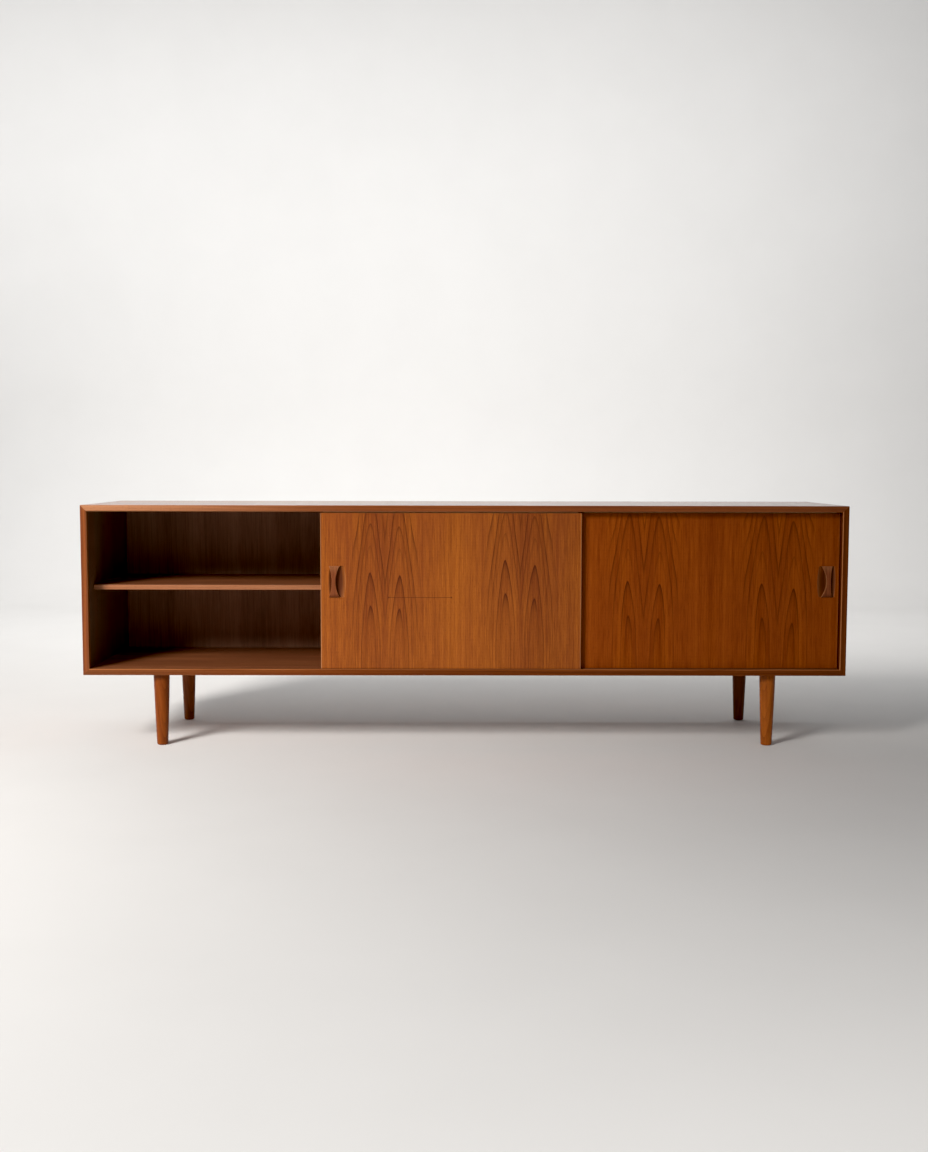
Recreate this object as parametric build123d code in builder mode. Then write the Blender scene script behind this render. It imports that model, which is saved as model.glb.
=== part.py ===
"""Low teak sideboard with three sliding doors, three bays, adjustable shelves and turned legs.

Millimetres. +X to the right, +Y towards the back, +Z up. The origin is on the floor, under the
middle of the case. The doors are drawn with the left one slid open behind the middle one.
"""
import os

from build123d import *

# ---------------------------------------------------------------- driving dimensions
width = 2200.0           # whole case, side to side
depth = 480.0            # front edge to rear edge
case_height = 490.0      # underside of the case to its top
leg_height = 210.0
board = 18.0             # thickness of the case boards and partitions
lipping = 9.0            # depth of the solid edging on the front of the case
outer_round = 1.8        # outer corners of the case
front_round = 1.5        # outer arris of the front edge
inner_bevel = 2.2        # bevel round the inside of the front edge

back_sheet = 5.0         # plywood back
rebate = 10.0            # width of the back's rebate, into the board
back_recess = 2.0        # back sheet below the rear edge
back_gap = 0.5           # play round the sheet in its rebate

shelf_setback = 63.0     # shelves and partitions stand this far behind the front edge
shelf_board = 14.0
shelf_top = 466.0        # height of the shelves' upper face above the floor
shelf_lipping = 8.0
shelf_round = 1.2        # front arrises of a shelf
partition_round = 1.0    # front arrises of a partition
shelf_play = 1.0         # at each end of a shelf
shelf_back_gap = 2.0

door_width = 750.0
door_thickness = 14.0
door_edging = 5.0        # solid strip down each side of a door
door_edge_round = 1.2
door_gap_below = 1.0     # door to the case bottom
door_gap_above = 3.5     # lift-out room above the door
first_track = 6.0        # front edge of the case to the face of the front door
track_gap = 5.0          # between two doors in neighbouring tracks
groove_width = 5.6
bottom_groove = 3.5      # depth
top_groove = 11.0        # depth
groove_stop = 2.0        # grooves stop this far short of the side boards
runner_thickness = 5.0
runner_in_door = 8.0
runner_in_top = 5.0
runner_end = 10.0        # runner shorter than the door at each end
runner_lift = 0.1        # running clearance over the groove floor

middle_door_x = -40.0    # centres of the doors as drawn
left_door_x = -38.0
right_door_x = 706.0

pull_height = 90.0
pull_depth = 9.0         # inlay in the door
pull_proud_waist = 4.3   # bar's height above the door's face, in its middle
pull_proud_ends = 3.2
pull_z = 481.0
bar_end = 31.0           # width of the bow-tie bar at its ends
bar_root = 8.6           # how deep the bar reaches into the inlay
bar_round = 1.2
# The pulls are carved one by one and differ. The middle of the bar's ends is from_edge away from the
# door's edge. All reaches are taken from there, inner ones towards the door's middle and outer ones
# towards its edge. The inlay's inner side is a long arc. A finger scoop has its axis at an inner reach
# and in front of the door's face, and a radius halfway up and at the ends.
left_hand_pull = {
    "from_edge": 40.0,
    "inlay_outer": 16.5,
    "inlay_inner_mid": 33.3,
    "inlay_inner_end": 28.3,
    "waist_inner": 3.2,
    "waist_outer": 7.6,
    "scoops": ((12.0, 25.1, 32.6, 29.6), (-8.8, 7.1, 10.1, 8.6)),
}
right_hand_pull = {
    "from_edge": 35.3,
    "inlay_outer": 25.6,
    "inlay_inner_mid": 27.9,
    "inlay_inner_end": 22.8,
    "waist_inner": 0.8,
    "waist_outer": 11.2,
    "scoops": ((6.5, 25.1, 32.6, 29.6), (-13.0, 16.0, 20.0, 18.4)),
}

leg_inset_x = 217.0      # leg axis from the side of the case
leg_inset_y = 42.0       # leg axis from the front and from the rear
leg_top_radius = 23.25
leg_mid_radius = 19.95
leg_foot_radius = 15.8
leg_foot_round = 5.0

bolt_radius = 4.0        # leg's hanger bolt
bolt_in_leg = 30.0
bolt_short = 1.0         # bolt's end below the insert's end
bolt_bevel = 0.8
insert_radius = 6.0
insert_length = 11.0
bolt_play = 0.05

dowel_radius = 4.0
dowel_in_board = 8.0
dowel_in_partition = 20.0
dowel_from_edge = 40.0
dowel_play = 0.05

spline_width = 10.0      # loose tongue across each mitre
spline_thickness = 3.0
spline_from_inside = 7.5
spline_stop = 30.0       # tongues stop short of the front and the rear

pin_radius = 2.5         # shelf pin
pin_in_board = 8.0
pin_apart = 0.2          # half the gap between two pins that share a partition's hole
pin_under_shelf = 9.0
pin_collar_radius = 4.0
pin_collar = 1.5
pin_from_shelf_edge = 40.0
pin_flat = 0.4           # flat on top of a pin, where the shelf rests
pin_play = 0.05
pin_hole_pitch = 32.0
pin_holes_each_way = 2   # spare holes above and below the shelf

screw_radius = 1.5       # back sheet's screws
screw_head_radius = 3.2
screw_length = 16.0
screw_tip = 3.0
screw_pitch = 345.0      # along the top and the bottom
partition_screw_rise = 110.0
screw_slot = 0.8
screw_play = 0.05

# ---------------------------------------------------------------- derived places
front = -depth / 2
rear = depth / 2
bottom = leg_height
top = leg_height + case_height
middle_z = (bottom + top) / 2
inside_x = width / 2 - board
inside_bottom = bottom + board
inside_top = top - board
inside_height = inside_top - inside_bottom
back_front = rear - back_recess - back_sheet
bay = (2 * inside_x - 2 * board) / 3
partition_x = bay / 2 + board / 2
inner_front = front + shelf_setback
shelf_bottom = shelf_top - shelf_board
door_bottom = inside_bottom + door_gap_below
door_top = inside_top - door_gap_above
track_pitch = door_thickness + track_gap
track_faces = [front + first_track + n * track_pitch for n in range(3)]
leg_places = {
    "front_left": (-width / 2 + leg_inset_x, front + leg_inset_y),
    "front_right": (width / 2 - leg_inset_x, front + leg_inset_y),
    "rear_left": (-width / 2 + leg_inset_x, rear - leg_inset_y),
    "rear_right": (width / 2 - leg_inset_x, rear - leg_inset_y),
}
bay_centres = {"left": -(bay + board), "middle": 0.0, "right": bay + board}
pin_ys = (inner_front + pin_from_shelf_edge, back_front - pin_from_shelf_edge)
pin_z = shelf_bottom - pin_radius + pin_flat
pin_hole_zs = [pin_z + n * pin_hole_pitch for n in range(-pin_holes_each_way, pin_holes_each_way + 1)]
dowel_ys = (inner_front + dowel_from_edge, (inner_front + back_front) / 2, back_front - dowel_from_edge)
screw_xs = [(n - 3) * screw_pitch for n in range(7)]
partition_screws = [
    (side * partition_x, middle_z + up * partition_screw_rise) for side in (-1, 1) for up in (-1, 1)
]
screw_places = (
    [(x, inside_top + rebate / 2) for x in screw_xs]
    + [(x, inside_bottom - rebate / 2) for x in screw_xs]
    + [(side * (inside_x + rebate / 2), middle_z) for side in (-1, 1)]
    + partition_screws
)
spline_length = depth - 2 * spline_stop
# each tongue is turned about Y to lie square across its mitre
spline_turns = {"top_left": -45.0, "top_right": 45.0, "bottom_left": 45.0, "bottom_right": -45.0}


def facing_front(x, y, z):
    """A sketch plane at a point, seen from the front: its X is the model's X, its Y is up."""
    return Plane(origin=(x, y, z), x_dir=(1, 0, 0), z_dir=(0, -1, 0))


def box(x_range, y_range, z_range, mode=Mode.ADD):
    """A box between two corners, in the part that is being built."""
    sizes = [high - low for low, high in (x_range, y_range, z_range)]
    middles = [(low + high) / 2 for low, high in (x_range, y_range, z_range)]
    with Locations(tuple(middles)):
        Box(*sizes, mode=mode)


def rods(places, radius, y_range=None, z_range=None, mode=Mode.SUBTRACT):
    """Cylinders along Y at (x, z) places, or along Z at (x, y) places."""
    if y_range:
        low, high = y_range
        with Locations(*[Location((x, (low + high) / 2, z), (90, 0, 0)) for x, z in places]):
            Cylinder(radius, high - low, mode=mode)
    else:
        low, high = z_range
        with Locations(*[(x, y, (low + high) / 2) for x, y in places]):
            Cylinder(radius, high - low, mode=mode)


def save(builder, name):
    builder.part.label = name
    export_step(builder.part, f"parts/{name}.step")


# ---------------------------------------------------------------- the case, as a ring to be mitred
def ring(y_range):
    """The four boards of the case in one, between two depths, with rounded outer corners."""
    low, high = y_range
    with BuildPart() as whole:
        with BuildSketch(facing_front(0, low, middle_z)):
            RectangleRounded(width, case_height, outer_round)
            Rectangle(2 * inside_x, inside_height, mode=Mode.SUBTRACT)
        extrude(amount=low - high)
    return whole


def mitre_wedge(side):
    """The share of the case's front view that belongs to one board, cut at 45 degrees."""
    over = 5.0
    half_x, half_z = width / 2 + over, case_height / 2 + over
    ridge = half_x - half_z
    corners = {
        "top": [(-half_x, half_z), (half_x, half_z), (ridge, 0), (-ridge, 0)],
        "bottom": [(-half_x, -half_z), (half_x, -half_z), (ridge, 0), (-ridge, 0)],
        "left": [(-half_x, -half_z), (-half_x, half_z), (-ridge, 0)],
        "right": [(half_x, -half_z), (half_x, half_z), (ridge, 0)],
    }
    with BuildPart() as wedge:
        with BuildSketch(facing_front(0, front - over, middle_z)):
            with BuildLine():
                Polyline(*corners[side], close=True)
            make_face()
        extrude(amount=-(depth + 2 * over))
    return wedge


def spline_centre(corner):
    up = 1 if corner.startswith("top") else -1
    right = 1 if corner.endswith("right") else -1
    x = right * (inside_x + spline_from_inside)
    z = middle_z + up * (inside_height / 2 + spline_from_inside)
    return Location((x, 0, z), (0, spline_turns[corner], 0))


def splines(mode):
    """The loose tongues across the four mitres."""
    for corner in spline_turns:
        with Locations(spline_centre(corner)):
            Box(spline_width, spline_length, spline_thickness, mode=mode)


def groove(y_face, z_range):
    """The track of one door, in the top or the bottom board."""
    middle = y_face + door_thickness / 2
    half = groove_width / 2
    x = inside_x - groove_stop
    box((-x, x), (middle - half, middle + half), z_range, mode=Mode.SUBTRACT)


def pin_holes(x, length):
    """Two upright rows of holes for shelf pins, drilled along X."""
    with Locations(*[Location((x, y, z), (0, 90, 0)) for y in pin_ys for z in pin_hole_zs]):
        Cylinder(pin_radius + pin_play, length, mode=Mode.SUBTRACT)


os.makedirs("parts", exist_ok=True)

case_ring = ring((front + lipping, rear))
for board_side in ("top", "bottom", "left", "right"):
    wedge = mitre_wedge(board_side)
    with BuildPart() as case_board:
        add(case_ring.part)
        add(wedge.part, mode=Mode.INTERSECT)
        # rebate for the back sheet
        box(
            (-inside_x - rebate, inside_x + rebate),
            (back_front, rear),
            (inside_bottom - rebate, inside_top + rebate),
            mode=Mode.SUBTRACT,
        )
        splines(Mode.SUBTRACT)
        rods(screw_places, screw_radius + screw_play, y_range=(back_front - screw_length, rear))
        if board_side == "top":
            for y_face in track_faces:
                groove(y_face, (inside_top, inside_top + top_groove))
        if board_side == "bottom":
            for y_face in track_faces:
                groove(y_face, (inside_bottom - bottom_groove, inside_bottom))
            rods(leg_places.values(), insert_radius, z_range=(bottom, bottom + insert_length))
        if board_side in ("top", "bottom"):
            rods(
                [(side * partition_x, y) for side in (-1, 1) for y in dowel_ys],
                dowel_radius + dowel_play,
                z_range=(inside_bottom - dowel_in_board, inside_top + dowel_in_board),
            )
        else:
            side = -1 if board_side == "left" else 1
            pin_holes(side * (inside_x + pin_in_board / 2), pin_in_board)
    save(case_board, f"{board_side}_panel")

# solid edging on the front: one frame with worked arrises, cut at the mitres
edging_ring = ring((front, front + lipping))
with BuildPart() as front_frame:
    add(edging_ring.part)
    face_edges = front_frame.faces().sort_by(Axis.Y)[0].edges()
    inner_edges = face_edges.filter_by(
        lambda edge: abs(edge.center().X) <= inside_x + 1
        and abs(edge.center().Z - middle_z) <= inside_height / 2 + 1
    )
    fillet(face_edges - inner_edges, radius=front_round)
    chamfer(inner_edges, length=inner_bevel)

for board_side in ("top", "bottom", "left", "right"):
    wedge = mitre_wedge(board_side)
    with BuildPart() as edging:
        add(front_frame.part)
        add(wedge.part, mode=Mode.INTERSECT)
    save(edging, f"{board_side}_front_lipping")

with BuildPart() as mitre_splines:
    splines(Mode.ADD)
save(mitre_splines, "mitre_splines")


# ---------------------------------------------------------------- back sheet and its screws
with BuildPart() as back_panel:
    reach_x = inside_x + rebate - back_gap
    reach_z = inside_height / 2 + rebate - back_gap
    back_rear = back_front + back_sheet
    box((-reach_x, reach_x), (back_front, back_rear), (middle_z - reach_z, middle_z + reach_z))
    rods(screw_places, screw_radius + screw_play, y_range=(back_front, back_rear))
    head_depth = screw_head_radius - screw_radius
    with Locations(*[Location((x, back_rear - head_depth / 2, z), (90, 0, 0)) for x, z in screw_places]):
        Cone(screw_head_radius, screw_radius, head_depth, mode=Mode.SUBTRACT)
save(back_panel, "back_panel")

with BuildPart() as back_panel_screws:
    for x, z in screw_places:
        # half of the screw's outline, from its tip to its flat head, turned about its axis
        with BuildSketch(Plane(origin=(x, back_rear, z), x_dir=(1, 0, 0), z_dir=(0, 0, 1))):
            with BuildLine():
                Polyline(
                    (0, 0),
                    (screw_head_radius, 0),
                    (screw_radius, -head_depth),
                    (screw_radius, screw_tip - screw_length),
                    (0, -screw_length),
                    close=True,
                )
            make_face()
        revolve(axis=Axis((x, 0, z), (0, 1, 0)))
        box(
            (x - screw_head_radius, x + screw_head_radius),
            (back_rear - screw_slot, back_rear),
            (z - screw_slot / 2, z + screw_slot / 2),
            mode=Mode.SUBTRACT,
        )
save(back_panel_screws, "back_panel_screws")


# ---------------------------------------------------------------- partitions
for side_name, side in (("left", -1), ("right", 1)):
    x = side * partition_x
    x_range = (x - board / 2, x + board / 2)
    with BuildPart() as partition:
        box(x_range, (inner_front + shelf_lipping, back_front), (inside_bottom, inside_top))
        for z_range in (
            (inside_bottom, inside_bottom + dowel_in_partition),
            (inside_top - dowel_in_partition, inside_top),
        ):
            rods([(x, y) for y in dowel_ys], dowel_radius + dowel_play, z_range=z_range)
        # the pins of the two bays share through holes
        pin_holes(x, board)
        rods(partition_screws, screw_radius + screw_play, y_range=(back_front - screw_length, back_front))
    save(partition, f"{side_name}_partition")
    with BuildPart() as partition_edge:
        box(x_range, (inner_front, inner_front + shelf_lipping), (inside_bottom, inside_top))
        fillet(partition_edge.faces().sort_by(Axis.Y)[0].edges().filter_by(Axis.Z), radius=partition_round)
    save(partition_edge, f"{side_name}_partition_lipping")

with BuildPart() as partition_dowels:
    places = [(side * partition_x, y) for side in (-1, 1) for y in dowel_ys]
    for z_range in (
        (inside_bottom - dowel_in_board, inside_bottom + dowel_in_partition),
        (inside_top - dowel_in_partition, inside_top + dowel_in_board),
    ):
        rods(places, dowel_radius, z_range=z_range, mode=Mode.ADD)
save(partition_dowels, "partition_dowels")


# ---------------------------------------------------------------- shelves and their pins
for bay_name, centre in bay_centres.items():
    half = bay / 2 - shelf_play
    x_range = (centre - half, centre + half)
    with BuildPart() as shelf:
        y_range = (inner_front + shelf_lipping, back_front - shelf_back_gap)
        box(x_range, y_range, (shelf_bottom, shelf_top))
    save(shelf, f"{bay_name}_shelf")
    with BuildPart() as shelf_edge:
        box(x_range, (inner_front, inner_front + shelf_lipping), (shelf_bottom, shelf_top))
        fillet(shelf_edge.faces().sort_by(Axis.Y)[0].edges().filter_by(Axis.X), radius=shelf_round)
    save(shelf_edge, f"{bay_name}_shelf_lipping")
    with BuildPart() as pins:
        for side in (-1, 1):
            wall = centre + side * bay / 2
            # a pin goes to the end of its hole in a case side, and half through a partition
            sunk = pin_in_board if abs(wall) > partition_x + board else board / 2 - pin_apart
            pin_x = wall + side * (sunk - pin_under_shelf) / 2
            collar_x = wall - side * pin_collar / 2
            for y in pin_ys:
                with Locations(Location((pin_x, y, pin_z), (0, 90, 0))):
                    Cylinder(pin_radius, sunk + pin_under_shelf)
                with Locations(Location((collar_x, y, pin_z), (0, 90, 0))):
                    Cylinder(pin_collar_radius, pin_collar)
        box(
            (centre - bay / 2, centre + bay / 2),
            (inner_front, back_front),
            (shelf_bottom, shelf_top),
            mode=Mode.SUBTRACT,
        )
    save(pins, f"{bay_name}_shelf_pins")


# ---------------------------------------------------------------- legs
for leg_name, (x, y) in leg_places.items():
    with BuildPart() as leg:
        with BuildSketch(facing_front(x, y, 0)):
            with BuildLine():
                Polyline((leg_top_radius, leg_height), (0, leg_height), (0, 0), (leg_foot_radius, 0))
                ThreePointArc(
                    (leg_foot_radius, 0),
                    (leg_mid_radius, leg_height / 2),
                    (leg_top_radius, leg_height),
                )
            make_face()
        revolve(axis=Axis((x, y, 0), (0, 0, 1)))
        fillet(leg.faces().sort_by(Axis.Z)[0].edges(), radius=leg_foot_round)
        rods([(x, y)], bolt_radius + bolt_play, z_range=(leg_height - bolt_in_leg, leg_height))
    save(leg, f"{leg_name}_leg")

with BuildPart() as leg_inserts:
    rods(leg_places.values(), insert_radius, z_range=(bottom, bottom + insert_length), mode=Mode.ADD)
    rods(leg_places.values(), bolt_radius + bolt_play, z_range=(bottom, bottom + insert_length))
save(leg_inserts, "leg_threaded_inserts")

with BuildPart() as leg_bolts:
    rods(
        leg_places.values(),
        bolt_radius,
        z_range=(bottom - bolt_in_leg, bottom + insert_length - bolt_short),
        mode=Mode.ADD,
    )
    chamfer(leg_bolts.edges().filter_by(GeomType.CIRCLE), length=bolt_bevel)
save(leg_bolts, "leg_hanger_bolts")


# ---------------------------------------------------------------- sliding doors
def pull_outline(shape, pull_x, y_face, inward):
    """The inlay's outline in the door's face: straight on the outer side, a long arc on the inner side."""
    half_height = pull_height / 2
    outer = -inward * shape["inlay_outer"]
    inner_end, inner_mid = inward * shape["inlay_inner_end"], inward * shape["inlay_inner_mid"]
    with BuildSketch(facing_front(pull_x, y_face, pull_z)) as outline:
        with BuildLine():
            Polyline(
                (inner_end, half_height),
                (outer, half_height),
                (outer, -half_height),
                (inner_end, -half_height),
            )
            ThreePointArc((inner_end, -half_height), (inner_mid, 0), (inner_end, half_height))
        make_face()
    return outline.sketch


def pull_bar(shape, pull_x, y_face, inward):
    """The bow-tie bar that stands between the finger scoops, with a gently bowed face."""
    half_height, half_end = pull_height / 2, bar_end / 2
    inner_end, inner_waist = inward * half_end, inward * shape["waist_inner"]
    outer_end, outer_waist = -inward * half_end, -inward * shape["waist_outer"]
    with BuildPart() as bar:
        with BuildSketch(facing_front(pull_x, y_face - pull_proud_waist, pull_z)):
            with BuildLine():
                Line((outer_end, half_height), (inner_end, half_height))
                ThreePointArc((inner_end, half_height), (inner_waist, 0), (inner_end, -half_height))
                Line((inner_end, -half_height), (outer_end, -half_height))
                ThreePointArc((outer_end, -half_height), (outer_waist, 0), (outer_end, half_height))
            make_face()
        extrude(amount=-(pull_proud_waist + bar_root))
        # the bar's side view: its face is a long arc, highest at the waist
        with BuildSketch(Plane(origin=(pull_x, y_face, pull_z), x_dir=(0, 1, 0), z_dir=(1, 0, 0))):
            with BuildLine():
                Polyline(
                    (-pull_proud_ends, half_height),
                    (bar_root, half_height),
                    (bar_root, -half_height),
                    (-pull_proud_ends, -half_height),
                )
                ThreePointArc(
                    (-pull_proud_ends, -half_height), (-pull_proud_waist, 0), (-pull_proud_ends, half_height)
                )
            make_face()
        extrude(amount=bar_end, both=True, mode=Mode.INTERSECT)
        fillet(bar.faces().sort_by(Axis.Y)[0].edges(), radius=bar_round)
    return bar


def make_door(name, centre, y_face, pull_side, shape):
    """One door: veneered board, solid edging down both sides, two runner strips and a carved pull."""
    y_range = (y_face, y_face + door_thickness)
    z_range = (door_bottom, door_top)
    half = door_width / 2
    panel_half = half - door_edging
    pull_x = centre + pull_side * (half - shape["from_edge"])
    inlay = pull_outline(shape, pull_x, y_face, -pull_side)
    runner_half = half - runner_end
    runner_middle = y_face + door_thickness / 2
    runner_y = (runner_middle - runner_thickness / 2, runner_middle + runner_thickness / 2)
    runner_x = (centre - runner_half, centre + runner_half)
    low_runner_z = (inside_bottom - bottom_groove + runner_lift, door_bottom + runner_in_door)
    high_runner_z = (door_top - runner_in_door, inside_top + runner_in_top)

    with BuildPart() as panel:
        box((centre - panel_half, centre + panel_half), y_range, z_range)
        box(runner_x, runner_y, (door_bottom, low_runner_z[1]), mode=Mode.SUBTRACT)
        box(runner_x, runner_y, (high_runner_z[0], door_top), mode=Mode.SUBTRACT)
        extrude(inlay, amount=-pull_depth, mode=Mode.SUBTRACT)
    save(panel, f"{name}_door_panel")

    for side_name, side in (("left", -1), ("right", 1)):
        inner, outer = centre + side * panel_half, centre + side * half
        with BuildPart() as strip:
            box((min(inner, outer), max(inner, outer)), y_range, z_range)
            outer_face = strip.faces().sort_by(Axis.X)[0 if side < 0 else -1]
            fillet(outer_face.edges().filter_by(Axis.Z), radius=door_edge_round)
        save(strip, f"{name}_door_{side_name}_edging")

    for runner_name, runner_z in (("bottom", low_runner_z), ("top", high_runner_z)):
        with BuildPart() as runner:
            box(runner_x, runner_y, runner_z)
        save(runner, f"{name}_door_{runner_name}_runner")

    bar = pull_bar(shape, pull_x, y_face, -pull_side)
    with BuildPart() as pull:
        extrude(inlay, amount=-pull_depth)
        # two finger scoops, deepest beside the bar, each cut by a barrel standing upright
        for inward_offset, ahead, mid_radius, end_radius in shape["scoops"]:
            axis_x, axis_y = pull_x - pull_side * inward_offset, y_face - ahead
            with BuildSketch(facing_front(axis_x, axis_y, pull_z)):
                with BuildLine():
                    Polyline(
                        (end_radius, pull_height / 2),
                        (0, pull_height / 2),
                        (0, -pull_height / 2),
                        (end_radius, -pull_height / 2),
                    )
                    ThreePointArc(
                        (end_radius, -pull_height / 2), (mid_radius, 0), (end_radius, pull_height / 2)
                    )
                make_face()
            revolve(axis=Axis((axis_x, axis_y, 0), (0, 0, 1)), mode=Mode.SUBTRACT)
        add(bar.part)
    save(pull, f"{name}_door_pull")


make_door("middle", middle_door_x, track_faces[0], pull_side=-1, shape=left_hand_pull)
make_door("right", right_door_x, track_faces[1], pull_side=1, shape=right_hand_pull)
make_door("left", left_door_x, track_faces[2], pull_side=-1, shape=left_hand_pull)
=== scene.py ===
"""The teak sideboard's looks: wood, plywood and metal materials, soft window light, floor and camera."""
import math

import bpy
from mathutils import Matrix, Vector


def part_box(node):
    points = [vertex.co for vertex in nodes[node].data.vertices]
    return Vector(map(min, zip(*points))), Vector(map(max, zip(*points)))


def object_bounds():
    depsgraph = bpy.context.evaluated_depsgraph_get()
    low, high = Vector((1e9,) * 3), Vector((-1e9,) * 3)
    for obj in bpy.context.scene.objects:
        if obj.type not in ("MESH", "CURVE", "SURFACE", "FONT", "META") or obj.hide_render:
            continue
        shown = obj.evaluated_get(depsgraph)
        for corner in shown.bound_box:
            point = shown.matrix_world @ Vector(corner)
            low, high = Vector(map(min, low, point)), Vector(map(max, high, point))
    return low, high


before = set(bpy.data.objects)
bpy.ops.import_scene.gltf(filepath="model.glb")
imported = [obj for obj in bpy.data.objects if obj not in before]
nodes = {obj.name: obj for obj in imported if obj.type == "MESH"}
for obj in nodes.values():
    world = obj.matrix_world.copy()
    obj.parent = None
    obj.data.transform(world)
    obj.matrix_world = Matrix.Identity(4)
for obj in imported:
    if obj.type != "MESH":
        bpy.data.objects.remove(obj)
cad_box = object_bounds()
low, high = cad_box
DOORS = ("left", "middle", "right")


# ---------------------------------------------------------------- camera
CAMERA_PLACE = (-0.018, low.y - 3.894, 0.815)
CAMERA_YAW, CAMERA_PITCH, CAMERA_ROLL = (math.radians(a) for a in (-0.223, 4.65, 0.103))
CAMERA_LENS = 42.57
CAMERA_SENSOR = 36


def make_camera():
    """Stands in front of the case, a little left of its middle, and looks slightly down."""
    right = Vector((math.cos(CAMERA_YAW), math.sin(CAMERA_YAW), 0))
    forward = Vector((
        -math.sin(CAMERA_YAW) * math.cos(CAMERA_PITCH),
        math.cos(CAMERA_YAW) * math.cos(CAMERA_PITCH),
        -math.sin(CAMERA_PITCH),
    ))
    up = right.cross(forward)
    rolled_right = math.cos(CAMERA_ROLL) * right + math.sin(CAMERA_ROLL) * up
    rolled_up = math.cos(CAMERA_ROLL) * up - math.sin(CAMERA_ROLL) * right
    data = bpy.data.cameras.new("camera")
    data.lens = CAMERA_LENS
    data.sensor_width = CAMERA_SENSOR
    camera = bpy.data.objects.new("camera", data)
    turn = Matrix((rolled_right, rolled_up, -forward)).transposed()
    camera.matrix_world = Matrix.Translation(CAMERA_PLACE) @ turn.to_4x4()
    bpy.context.scene.collection.objects.link(camera)
    bpy.context.scene.camera = camera


# ---------------------------------------------------------------- shader graphs
# the largest part of a normal is 1 on a face square to the axes and 0.71 halfway round an edge
FLAT_NORMAL, ROUND_NORMAL = 0.99, 0.75


class Graph:
    """One material's node tree, with short ways to add nodes. Values are sockets or plain numbers."""

    def __init__(self, name):
        self.material = bpy.data.materials.new(name)
        self.material.use_nodes = True
        self.tree = self.material.node_tree
        self.tree.nodes.clear()

    def put(self, socket, value):
        if isinstance(value, bpy.types.NodeSocket):
            self.tree.links.new(value, socket)
        elif value is not None:
            socket.default_value = value

    def node(self, kind, settings=None, **inputs):
        """Adds a node. inputs are named as its sockets are, with _ for a space."""
        made = self.tree.nodes.new(kind)
        for key, value in (settings or {}).items():
            setattr(made, key, value)
        for key, value in inputs.items():
            self.put(made.inputs[key.replace("_", " ")], value)
        return made

    def math(self, operation, a, b=None, c=None):
        made = self.node("ShaderNodeMath", {"operation": operation})
        for socket, value in zip(made.inputs, (a, b, c)):
            self.put(socket, value)
        return made.outputs[0]

    def clamped(self, operation, a, b):
        """Like math, but kept between 0 and 1."""
        result = self.math(operation, a, b)
        result.node.use_clamp = True
        return result

    def add(self, a, b):
        return self.math("ADD", a, b)

    def sub(self, a, b):
        return self.math("SUBTRACT", a, b)

    def mul(self, a, b):
        return self.math("MULTIPLY", a, b)

    def power(self, value, exponent):
        return self.math("POWER", value, exponent)

    def absolute(self, value):
        return self.math("ABSOLUTE", value)

    def around_zero(self, value, strength):
        """A pattern between 0 and 1, moved to lie evenly about zero and scaled."""
        return self.mul(self.sub(value, 0.5), strength)

    def distance(self, a, b):
        """The long side of a right-angled triangle with short sides a and b."""
        return self.math("SQRT", self.add(self.mul(a, a), self.mul(b, b)))

    def vector(self, x, y, z):
        made = self.node("ShaderNodeCombineXYZ")
        for socket, value in zip(made.inputs, (x, y, z)):
            self.put(socket, value)
        return made.outputs[0]

    def scaled(self, place, factors, offset=(0.0, 0.0, 0.0)):
        """A coordinate triple, each part times its own factor plus its own offset."""
        return self.vector(*[
            self.math("MULTIPLY_ADD", part, factor, shift)
            for part, factor, shift in zip(place, factors, offset)
        ])

    def noise(self, vector, detail=1.0, roughness=0.5):
        made = self.node("ShaderNodeTexNoise", Vector=vector, Scale=1.0, Detail=detail, Roughness=roughness)
        return made.outputs["Fac"]

    def random(self, value):
        """A fixed random number between 0 and 1 for each value."""
        made = self.node("ShaderNodeTexWhiteNoise", {"noise_dimensions": "1D"}, W=value)
        return made.outputs["Value"]

    def smooth(self, value, start, end, low_value=0.0, high_value=1.0):
        """Turns softly from low_value to high_value while value goes from start to end."""
        made = self.node(
            "ShaderNodeMapRange", {"interpolation_type": "SMOOTHSTEP"},
            Value=value, From_Min=start, From_Max=end, To_Min=low_value, To_Max=high_value,
        )
        return made.outputs["Result"]

    def mix(self, factor, a, b):
        made = self.node("ShaderNodeMix", {"data_type": "RGBA"}, Factor=factor)
        for key, value in (("A", a), ("B", b)):
            socket = [s for s in made.inputs if s.name == key and s.type == "RGBA"][0]
            self.put(socket, (*value, 1.0) if isinstance(value, tuple) else value)
        return [s for s in made.outputs if s.type == "RGBA"][0]

    def coordinates(self, kind):
        source = self.node("ShaderNodeTexCoord").outputs[kind]
        return list(self.node("ShaderNodeSeparateXYZ", Vector=source).outputs)

    def place(self):
        """The object's own coordinates, in metres, so a pattern rides with its piece."""
        return self.coordinates("Object")

    def arris(self):
        """0 on faces square to the axes, rising to 1 on the rounded edges between them."""
        x, y, z = [self.absolute(part) for part in self.coordinates("Normal")]
        largest = self.math("MAXIMUM", self.math("MAXIMUM", x, y), z)
        return self.smooth(largest, FLAT_NORMAL, ROUND_NORMAL)

    def finish(self, colour, roughness, height, bump, **fixed):
        """Ends the graph in one shader. fixed holds constant values for the shader's own sockets."""
        shader = self.node("ShaderNodeBsdfPrincipled", Base_Color=colour, Roughness=roughness)
        for key, value in fixed.items():
            shader.inputs[key.replace("_", " ")].default_value = value
        if height is not None:
            relief = self.node("ShaderNodeBump", Strength=1.0, Distance=bump, Height=height)
            self.put(shader.inputs["Normal"], relief.outputs["Normal"])
        output = self.node("ShaderNodeOutputMaterial")
        self.tree.links.new(shader.outputs[0], output.inputs["Surface"])
        return self.material


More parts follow.
